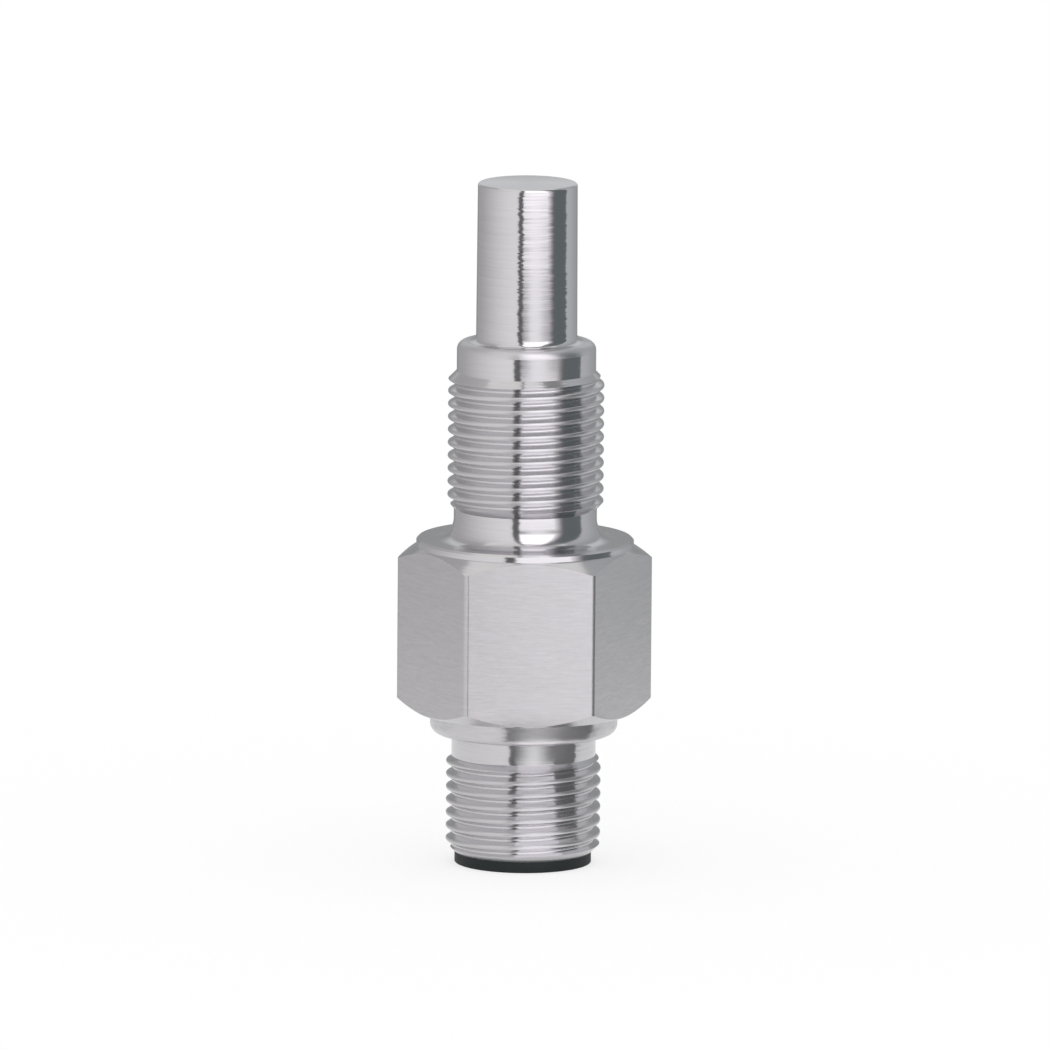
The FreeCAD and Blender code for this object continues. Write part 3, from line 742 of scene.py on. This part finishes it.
def brushed_steel(look):
    """Steel brushed across the hexagon's flats."""
    grain = ((500, 500, 6500), 4.0, 0.7)
    return tooled_steel(
        look, "brushed_steel", look.brushed_roughness, 0.5, grain, (0.855, 0.955), (0.03, 0.06, 700, 9000)
    )


def grained(name, body, grain, shades, roughness, depth=0.0, metallic=0.0, coat=0.0, specular=0.5):
    """Finish whose colour and roughness, and its surface where it has a depth, follow one grain."""
    material, tree, shader = new_finish(name)
    shader.inputs["Metallic"].default_value = metallic
    shader.inputs["Coat Weight"].default_value = coat
    shader.inputs["Specular IOR Level"].default_value = specular
    pattern = noise(tree, *grain)
    colours = (shade(body, amount) for amount in shades)
    tree.links.new(ramp(tree, pattern, *colours), shader.inputs["Base Color"])
    tree.links.new(spread(tree, pattern, *roughness), shader.inputs["Roughness"])
    if depth:
        tree.links.new(bump(tree, pattern, depth), shader.inputs["Normal"])
    return material


def moulded_plastic(look):
    """Matte glass-filled plastic of the socket insert."""
    grain = ((9000, 9000, 9000), 4.0, 0.6)
    return grained(
        "insert_plastic", look.plastic, grain, (0.7, 1.5), (0.5, 0.66), depth=0.000006, specular=0.4
    )


def gold_plating(look):
    """Gold of the contacts, with the fine rings of their turning."""
    grain = ((900, 900, 14000), 3.0, 0.6)
    return grained(
        "contact_gold", look.gold, grain, (0.85, 1.08), (0.16, 0.28), depth=0.000002, metallic=1.0
    )


def seal_rubber(look):
    """Dull black rubber of the insert's seal."""
    grain = ((6000, 6000, 6000), 4.0, 0.7)
    return grained("seal_rubber", look.rubber, grain, (0.7, 1.6), (0.6, 0.8), depth=0.000008)


def chip_mould(look):
    """Matte black compound round the chips."""
    grain = ((12000, 12000, 12000), 3.0, 0.6)
    return grained("chip_mould", look.mould, grain, (0.7, 1.7), (0.45, 0.6), depth=0.000004)


def sleeve_film(look):
    """Amber insulating film, a little glossy."""
    grain = ((2500, 2500, 700), 3.0, 0.5)
    return grained("sleeve_film", look.film, grain, (0.85, 1.15), (0.18, 0.3), coat=0.4)


def strip_ceramic(look):
    """Pale fired ceramic of the sensing strip."""
    grain = ((7000, 7000, 7000), 4.0, 0.6)
    return grained("strip_ceramic", look.ceramic, grain, (0.93, 1.04), (0.42, 0.58), depth=0.000003)


def sensor_glaze(look):
    """Glassy glaze over the temperature sensors."""
    grain = ((5000, 5000, 5000), 3.0, 0.6)
    return grained("sensor_glaze", look.glaze, grain, (0.8, 1.25), (0.15, 0.3), coat=0.5)


def plain_copper(look):
    """Copper of the couplers, with the marks of its machining."""
    grain = ((1200, 1200, 9000), 4.0, 0.65)
    return grained(
        "coupler_copper", look.copper, grain, (0.75, 1.1), (0.22, 0.4), depth=0.000003, metallic=1.0
    )


def tinned_wire(look):
    """Tin on the leads, drawn lengthways."""
    grain = ((5000, 5000, 1500), 4.0, 0.65)
    return grained("lead_metal", look.tin, grain, (0.85, 1.15), (0.2, 0.35), metallic=1.0)


def board_laminate(look):
    """Green solder mask over copper tracks."""
    material, tree, shader = new_finish("board_laminate")
    place = tree.nodes.new("ShaderNodeTexCoord")
    tracks = tree.nodes.new("ShaderNodeTexBrick")
    tracks.inputs["Scale"].default_value = 900.0
    tracks.inputs["Mortar Size"].default_value = 0.06
    tracks.inputs["Mortar Smooth"].default_value = 0.2
    for socket, amount in (("Color1", 1.0), ("Color2", 1.15), ("Mortar", 1.9)):
        tracks.inputs[socket].default_value = (*shade(look.laminate, amount), 1)
    upright = tree.nodes.new("ShaderNodeMapping")
    upright.inputs["Rotation"].default_value = (math.radians(90), 0, 0)
    tree.links.new(place.outputs["Object"], upright.inputs["Vector"])
    tree.links.new(upright.outputs["Vector"], tracks.inputs["Vector"])
    tree.links.new(tracks.outputs["Color"], shader.inputs["Base Color"])
    weave = noise(tree, (4000, 4000, 4000), 3.0, 0.5)
    tree.links.new(spread(tree, weave, 0.28, 0.42), shader.inputs["Roughness"])
    tree.links.new(bump(tree, tracks.outputs["Fac"], 0.00001), shader.inputs["Normal"])
    return material


def heater_film(look):
    """Printed resistive layer in narrow lines."""
    material, tree, shader = new_finish("heater_film")
    place = tree.nodes.new("ShaderNodeTexCoord")
    lines = tree.nodes.new("ShaderNodeTexWave")
    lines.wave_type = "BANDS"
    lines.bands_direction = "Z"
    lines.inputs["Scale"].default_value = 700.0
    lines.inputs["Distortion"].default_value = 0.3
    tree.links.new(place.outputs["Object"], lines.inputs["Vector"])
    colour_of_lines = ramp(tree, lines.outputs["Fac"], look.resistor, shade(look.resistor, 3.2), 0.4, 0.6)
    tree.links.new(colour_of_lines, shader.inputs["Base Color"])
    grain = noise(tree, (6000, 6000, 6000), 3.0, 0.6)
    tree.links.new(spread(tree, grain, 0.4, 0.55), shader.inputs["Roughness"])
    tree.links.new(bump(tree, lines.outputs["Fac"], 0.000006), shader.inputs["Normal"])
    return material


def capped_body(look, name, body, centre, reach):
    """Fired body with tinned ends beyond a reach, for a part that lies along X about a centre."""
    material, tree, shader = new_finish(name)
    away = calculate(tree, "SUBTRACT", object_place(tree)["X"], centre)
    cap = calculate(tree, "GREATER_THAN", calculate(tree, "ABSOLUTE", away), reach)
    grain = noise(tree, (8000, 8000, 8000), 3.0, 0.6)
    mix = tree.nodes.new("ShaderNodeMix")
    mix.data_type = "RGBA"
    tree.links.new(cap, mix.inputs["Factor"])
    tree.links.new(ramp(tree, grain, shade(body, 0.8), shade(body, 1.2)), mix.inputs["A"])
    tree.links.new(ramp(tree, grain, shade(look.tin, 0.85), shade(look.tin, 1.1)), mix.inputs["B"])
    tree.links.new(mix.outputs["Result"], shader.inputs["Base Color"])
    tree.links.new(cap, shader.inputs["Metallic"])
    tree.links.new(spread(tree, grain, 0.3, 0.45), shader.inputs["Roughness"])
    return material


def finish_nodes(material, *names):
    """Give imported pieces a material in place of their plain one."""
    for name in names:
        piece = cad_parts[name]
        if not piece.material_slots:
            piece.data.materials.append(material)
        for slot in piece.material_slots:
            slot.material = material


# Stage

def card_angle(stage, degrees):
    """Angle about the Z axis of a place this many degrees to the right of the camera."""
    return math.radians(degrees) + stage.azimuth


def fade(tree, stage, way, start, end, first, last):
    """Strength that goes smoothly from first to last, up the card or round the sensor."""
    place = object_place(tree)
    if way == "up":
        value = place["Z"]
    else:
        value = calculate(tree, "ARCTAN2", place["X"], calculate(tree, "MULTIPLY", place["Y"], -1.0))
        start, end = card_angle(stage, start), card_angle(stage, end)
    blend = tree.nodes.new("ShaderNodeMapRange")
    blend.interpolation_type = "SMOOTHSTEP"
    for socket, amount in (("From Min", start), ("From Max", end), ("To Min", first), ("To Max", last)):
        blend.inputs[socket].default_value = amount
    tree.links.new(value, blend.inputs["Value"])
    return blend.outputs["Result"]


def glow(stage, name, tone, light):
    """Plain light of one strength, or of a strength that fades."""
    material, tree, output = new_material(name)
    emission = tree.nodes.new("ShaderNodeEmission")
    emission.inputs["Color"].default_value = (*tone, 1)
    if isinstance(light, tuple):
        tree.links.new(fade(tree, stage, *light), emission.inputs["Strength"])
    else:
        emission.inputs["Strength"].default_value = light
    tree.links.new(emission.outputs["Emission"], output.inputs["Surface"])
    return material


def sweep_card(stage, name, start, end, near, far, bottom, top, tone, light):
    """Card that runs round the sensor from one angle to another, unseen by the camera."""
    angle = card_angle(stage, start)
    heading = Vector((math.sin(angle), -math.cos(angle), 0))
    spot = heading * near
    reach = heading * (far - near)
    card = start_wire(name, (spot.x, spot.y, bottom))
    bpy.ops.mesh.extrude_region_move(TRANSFORM_OT_translate={"value": (reach.x, reach.y, top - bottom)})
    bpy.ops.mesh.select_all(action="SELECT")
    bpy.ops.mesh.spin(
        steps=max(2, round((end - start) / CARD_STEP)), dupli=False, angle=math.radians(start - end),
        use_auto_merge=False, center=(0, 0, 0), axis=(0, 0, 1),
    )
    bpy.ops.object.mode_set(mode="OBJECT")
    card.data.materials.append(glow(stage, name, tone, light))
    card.visible_camera = False
    card.visible_diffuse = False
    card.visible_shadow = False


def lay_floor(stage):
    """Pale floor that shows white and keeps the sensor's shadow, open under the socket."""
    bpy.ops.object.select_all(action="DESELECT")
    bpy.ops.mesh.primitive_circle_add(
        vertices=96, radius=stage.opening, fill_type="NOTHING", location=(0, 0, -FLOOR_DROP)
    )
    floor = bpy.context.object
    floor.name = floor.data.name = "floor"
    bpy.ops.object.mode_set(mode="EDIT")
    bpy.ops.mesh.select_mode(type="EDGE")
    bpy.ops.mesh.select_all(action="SELECT")
    bpy.ops.mesh.extrude_region_move()
    spread_out = FLOOR_REACH / stage.opening
    bpy.ops.transform.resize(value=(spread_out, spread_out, 1), center_override=(0, 0, 0))
    bpy.ops.mesh.select_all(action="SELECT")
    bpy.ops.object.mode_set(mode="OBJECT")
    if floor.data.polygons[0].normal.z < 0:
        bpy.ops.object.mode_set(mode="EDIT")
        bpy.ops.mesh.flip_normals()
        bpy.ops.object.mode_set(mode="OBJECT")
    material, tree, output = new_material("floor")
    diffuse = tree.nodes.new("ShaderNodeBsdfDiffuse")
    diffuse.inputs["Color"].default_value = (*stage.floor, 1)
    lift = tree.nodes.new("ShaderNodeEmission")
    path = tree.nodes.new("ShaderNodeLightPath")
    mirrored = calculate(tree, "MULTIPLY", path.outputs["Is Glossy Ray"], FLOOR_MIRRORED)
    strength = calculate(tree, "MULTIPLY_ADD", path.outputs["Is Camera Ray"], FLOOR_SEEN, mirrored)
    tree.links.new(strength, lift.inputs["Strength"])
    both = tree.nodes.new("ShaderNodeAddShader")
    tree.links.new(diffuse.outputs["BSDF"], both.inputs[0])
    tree.links.new(lift.outputs["Emission"], both.inputs[1])
    clear = tree.nodes.new("ShaderNodeBsdfTransparent")
    geometry = tree.nodes.new("ShaderNodeNewGeometry")
    side = tree.nodes.new("ShaderNodeMixShader")
    tree.links.new(geometry.outputs["Backfacing"], side.inputs["Fac"])
    tree.links.new(both.outputs["Shader"], side.inputs[1])
    tree.links.new(clear.outputs["BSDF"], side.inputs[2])
    tree.links.new(side.outputs["Shader"], output.inputs["Surface"])
    floor.data.materials.append(material)


def light_world(stage):
    """Even studio light that the camera, metal and glass see as white."""
    world = bpy.data.worlds.new("studio")
    bpy.context.scene.world = world
    world.use_nodes = True
    tree = world.node_tree
    tree.nodes.clear()
    output = tree.nodes.new("ShaderNodeOutputWorld")
    background = tree.nodes.new("ShaderNodeBackground")
    path = tree.nodes.new("ShaderNodeLightPath")
    seen = calculate(tree, "MAXIMUM", path.outputs["Is Camera Ray"], path.outputs["Is Glossy Ray"])
    seen = calculate(tree, "MAXIMUM", seen, path.outputs["Is Transmission Ray"])
    strength = tree.nodes.new("ShaderNodeMapRange")
    strength.inputs["To Min"].default_value = stage.world
    strength.inputs["To Max"].default_value = 1.0
    tree.links.new(seen, strength.inputs["Value"])
    tree.links.new(strength.outputs["Result"], background.inputs["Strength"])
    tree.links.new(background.outputs["Background"], output.inputs["Surface"])


def place_camera(stage):
    """Camera at the photograph's view of the sensor."""
    elevation, azimuth = stage.elevation, stage.azimuth
    out = Vector((
        math.sin(azimuth) * math.cos(elevation),
        -math.cos(azimuth) * math.cos(elevation),
        math.sin(elevation),
    ))
    level = Vector((math.cos(azimuth), math.sin(azimuth), 0))
    upright = out.cross(level)
    right = level * math.cos(stage.roll) + upright * math.sin(stage.roll)
    up = upright * math.cos(stage.roll) - level * math.sin(stage.roll)
    spot = Vector(AIM) + out * stage.distance
    bpy.ops.object.select_all(action="DESELECT")
    bpy.ops.object.camera_add(location=spot)
    camera = bpy.context.object
    camera.name = "camera"
    camera.rotation_euler = Matrix((right, up, out)).transposed().to_euler()
    camera.data.lens = stage.lens
    camera.data.sensor_width = 36.0
    camera.data.shift_x, camera.data.shift_y = SHIFT
    camera.data.clip_start = 0.1
    camera.data.clip_end = 50.0
    bpy.context.scene.camera = camera


# Operators

class SENSOR_OT_steel_body(bpy.types.Operator):
    """Model the steel body with both threads, the hexagon and the stepped bore"""

    bl_idname = "flow_sensor.steel_body"
    bl_label = "Steel Body"

    def execute(self, context):
        scene = context.scene
        levels, widths = scene.sensor_levels, scene.sensor_widths
        edges, thread = scene.sensor_edges, scene.sensor_thread
        body = turn_core(levels, widths, edges, thread)
        combine(body, mill_hexagon(levels, widths, edges), "UNION")
        combine(body, process_rod(levels, widths, thread), "UNION")
        combine(body, plug_rod(levels, widths, thread), "UNION")
        combine(body, bore_tool(levels, widths), "DIFFERENCE")
        check_closed(body)
        body.data.materials.clear()
        for finish in (turned_steel, brushed_steel, crest_steel, ground_steel, collar_steel):
            body.data.materials.append(finish(scene.sensor_look))
        paint_body(body, levels, widths, edges)
        bpy.ops.object.shade_smooth_by_angle(angle=math.radians(30))
        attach(body, "root")
        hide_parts("sensor_body")
        return {"FINISHED"}


class SENSOR_OT_socket_finish(bpy.types.Operator):
    """Finish the socket insert, its seal and its contacts"""

    bl_idname = "flow_sensor.socket_finish"
    bl_label = "Socket and Contacts"

    def execute(self, context):
        look = context.scene.sensor_look
        finish_nodes(moulded_plastic(look), "contact_carrier")
        finish_nodes(seal_rubber(look), "carrier_seal")
        finish_nodes(gold_plating(look), *(f"contact_pin_{number}" for number in range(1, 6)))
        return {"FINISHED"}


class SENSOR_OT_board_finish(bpy.types.Operator):
    """Finish the boards, the sleeve and the chips"""

    bl_idname = "flow_sensor.board_finish"
    bl_label = "Boards and Chips"

    def execute(self, context):
        look = context.scene.sensor_look
        finish_nodes(board_laminate(look), "contact_board", "main_board")
        finish_nodes(sleeve_film(look), "board_sleeve")
        finish_nodes(chip_mould(look), "measuring_chip", "heater_driver", "memory_chip")
        finish_nodes(capped_body(look, "capacitor_body", look.capacitor, 0, 1.15 * MM), "input_capacitor")
        finish_nodes(capped_body(look, "diode_body", look.black, 0, 1.05 * MM), "protection_diode")
        row = 1.2 * MM
        for number in range(1, 5):
            centre = -row if number % 2 else row
            resistor = capped_body(look, f"resistor_body_{number}", look.black, centre, 0.55 * MM)
            finish_nodes(resistor, f"resistor_{number}")
        return {"FINISHED"}


class SENSOR_OT_probe_finish(bpy.types.Operator):
    """Finish the sensing strip, the couplers and the leads"""

    bl_idname = "flow_sensor.probe_finish"
    bl_label = "Strip, Couplers and Leads"

    def execute(self, context):
        look = context.scene.sensor_look
        finish_nodes(strip_ceramic(look), "sensing_strip")
        finish_nodes(heater_film(look), "heater")
        finish_nodes(sensor_glaze(look), "heated_sensor", "reference_sensor")
        finish_nodes(plain_copper(look), "tip_coupler", "reference_coupler")
        finish_nodes(tinned_wire(look), *(f"lead_wire_{number}" for number in range(1, 6)))
        return {"FINISHED"}


class SENSOR_OT_stage(bpy.types.Operator):
    """Lay the floor, stand the cards, light the studio and place the camera"""

    bl_idname = "flow_sensor.stage"
    bl_label = "Stage"

    def execute(self, context):
        stage = context.scene.sensor_stage
        context.scene.view_settings.view_transform = "Standard"
        lay_floor(stage)
        light_world(stage)
        for card in CARDS:
            sweep_card(stage, *card)
        place_camera(stage)
        return {"FINISHED"}


class SENSOR_PT_panel(bpy.types.Panel):
    bl_label = "Flow Sensor"
    bl_idname = "SENSOR_PT_panel"
    bl_space_type = "VIEW_3D"
    bl_region_type = "UI"
    bl_category = "Flow Sensor"

    def draw(self, context):
        layout = self.layout
        for operator in OPERATORS:
            layout.operator(operator.bl_idname)
        for title, name, group in GROUPS:
            box = layout.box()
            box.label(text=title)
            values = getattr(context.scene, name)
            for key in group.__annotations__:
                box.prop(values, key)


GROUPS = (
    ("Levels", "sensor_levels", SensorLevels),
    ("Widths", "sensor_widths", SensorWidths),
    ("Edges", "sensor_edges", SensorEdges),
    ("Threads", "sensor_thread", SensorThread),
    ("Finishes", "sensor_look", SensorLook),
    ("Studio", "sensor_stage", SensorStage),
)
OPERATORS = (
    SENSOR_OT_steel_body,
    SENSOR_OT_socket_finish,
    SENSOR_OT_board_finish,
    SENSOR_OT_probe_finish,
    SENSOR_OT_stage,
)


def register():
    for title, name, group in GROUPS:
        bpy.utils.register_class(group)
        setattr(bpy.types.Scene, name, bpy.props.PointerProperty(type=group))
    for operator in OPERATORS:
        bpy.utils.register_class(operator)
    bpy.utils.register_class(SENSOR_PT_panel)


def unregister():
    bpy.utils.unregister_class(SENSOR_PT_panel)
    for operator in reversed(OPERATORS):
        bpy.utils.unregister_class(operator)
    for title, name, group in reversed(GROUPS):
        delattr(bpy.types.Scene, name)
        bpy.utils.unregister_class(group)


def main():
    register()
    bpy.ops.flow_sensor.steel_body()
    bpy.ops.flow_sensor.socket_finish()
    bpy.ops.flow_sensor.board_finish()
    bpy.ops.flow_sensor.probe_finish()
    bpy.ops.flow_sensor.stage()


if __name__ == "__main__":
    main()
